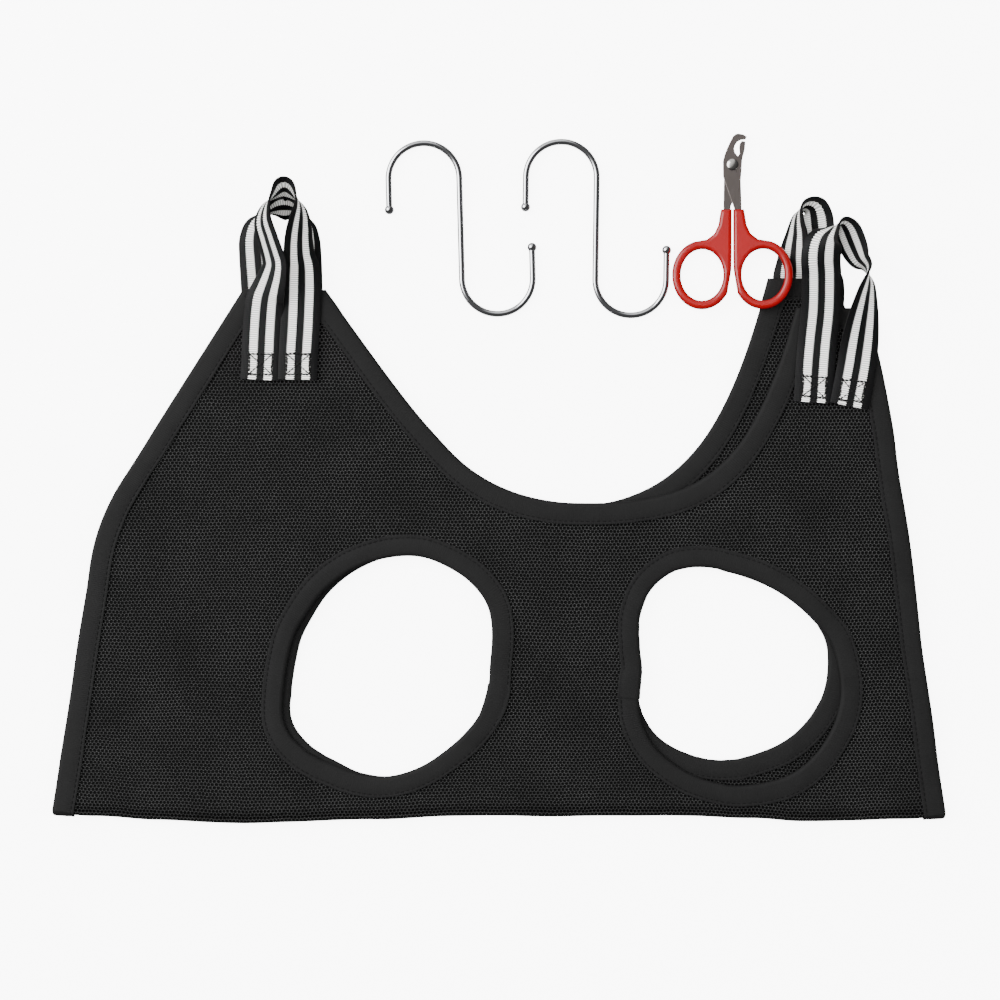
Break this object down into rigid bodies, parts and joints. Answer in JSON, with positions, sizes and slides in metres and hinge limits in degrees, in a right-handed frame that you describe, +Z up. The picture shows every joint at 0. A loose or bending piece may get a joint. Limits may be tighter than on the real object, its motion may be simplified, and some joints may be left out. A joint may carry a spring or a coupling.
{
  "type": "pet grooming hammock",
  "caption": "Folded mesh hammock with leg holes, bound edges and striped webbing loops, laid flat with its chrome S-hooks and small nail scissors.",
  "frame": {"origin": "on the table, under the middle of the kit's box", "axes": "+X along the belly fold towards the end by the scissors, +Y from the fold to the ears, +Z up"},
  "size_m": [0.455, 0.3529, 0.0326],
  "materials": {
    "air_mesh": "black knitted air mesh with staggered round holes",
    "binding_tape": "smooth charcoal binding tape, matt",
    "thread": "black sewing thread",
    "webbing": "ribbed webbing in five stripes, black and white in turn",
    "chrome_wire": "polished chrome plate",
    "blade_steel": "satin stainless steel",
    "red_plastic": "glossy red moulded plastic"
  },
  "bodies": {
    "hammock_back": {"back_mesh_panel": "air_mesh", "back_neck_binding": "binding_tape", "back_left_end_binding": "binding_tape", "back_right_end_binding": "binding_tape", "back_left_leg_binding": "binding_tape", "back_right_leg_binding": "binding_tape", "back_left_strap_tail_a": "webbing", "back_left_strap_stitch_a": "thread", "back_left_strap_tail_b": "webbing", "back_left_strap_stitch_b": "thread", "back_right_strap_tail_a": "webbing", "back_right_strap_stitch_a": "thread", "back_right_strap_tail_b": "webbing", "back_right_strap_stitch_b": "thread", "belly_fold": "air_mesh", "left_fold_binding": "binding_tape", "right_fold_binding": "binding_tape"},
    "hammock_front": {"front_mesh_panel": "air_mesh", "front_neck_binding": "binding_tape", "front_left_end_binding": "binding_tape", "front_right_end_binding": "binding_tape", "front_left_leg_binding": "binding_tape", "front_right_leg_binding": "binding_tape", "front_left_strap_tail_a": "webbing", "front_left_strap_stitch_a": "thread", "front_left_strap_tail_b": "webbing", "front_left_strap_stitch_b": "thread", "front_right_strap_tail_a": "webbing", "front_right_strap_stitch_a": "thread", "front_right_strap_tail_b": "webbing", "front_right_strap_stitch_b": "thread"},
    "front_left_loop": {"front_left_strap_loop": "webbing"},
    "front_right_loop": {"front_right_strap_loop": "webbing"},
    "back_left_loop": {"back_left_strap_loop": "webbing"},
    "back_right_loop": {"back_right_strap_loop": "webbing"},
    "hook_1": {"hook_1_wire": "chrome_wire", "hook_1_upper_ball": "chrome_wire", "hook_1_lower_ball": "chrome_wire"},
    "hook_2": {"hook_2_wire": "chrome_wire", "hook_2_upper_ball": "chrome_wire", "hook_2_lower_ball": "chrome_wire"},
    "scissors_right": {"upper_blade": "blade_steel", "right_handle": "red_plastic", "pivot_rivet": "blade_steel"},
    "scissors_left": {"lower_blade": "blade_steel", "left_handle": "red_plastic"}
  },
  "joints": [
    {"name": "fold_open", "type": "hinge", "parent": "hammock_back", "child": "hammock_front", "pos_m": [0, -0.1731, 0.00495], "axis": [1, 0, 0], "range_deg": [0, 175]},
    {"name": "front_left_bend", "type": "hinge", "parent": "hammock_front", "child": "front_left_loop", "pos_m": [-0.1096, 0.0643, 0.0099], "axis": [1, 0, 0], "range_deg": [0, 150]},
    {"name": "front_right_bend", "type": "hinge", "parent": "hammock_front", "child": "front_right_loop", "pos_m": [0.17082, 0.0517, 0.0099], "axis": [0.9945, -0.1045, 0], "range_deg": [0, 150]},
    {"name": "back_left_bend", "type": "hinge", "parent": "hammock_back", "child": "back_left_loop", "pos_m": [-0.1096, 0.0643, 0], "axis": [-1, 0, 0], "range_deg": [0, 90]},
    {"name": "back_right_bend", "type": "hinge", "parent": "hammock_back", "child": "back_right_loop", "pos_m": [0.15451, 0.06689, 0], "axis": [-0.9976, 0.0698, 0], "range_deg": [0, 90]},
    {"name": "hook_1_lift", "type": "slide", "parent": "hammock_back", "child": "hook_1", "axis": [0, 0, 1], "range_m": [0, 0.1]},
    {"name": "hook_2_lift", "type": "slide", "parent": "hammock_back", "child": "hook_2", "axis": [0, 0, 1], "range_m": [0, 0.1]},
    {"name": "scissors_lift", "type": "slide", "parent": "hammock_back", "child": "scissors_right", "axis": [0, 0, 1], "range_m": [0, 0.12]},
    {"name": "scissors_pivot", "type": "hinge", "parent": "scissors_right", "child": "scissors_left", "pos_m": [0.1193, 0.1605, 0.0025], "axis": [0.0835, -0.0593, -0.9947], "range_deg": [0, 40]}
  ],
  "couplings": [
    {"joint": "scissors_pivot", "follows": "scissors_lift", "rad_per_m": 5.8}
  ]
}
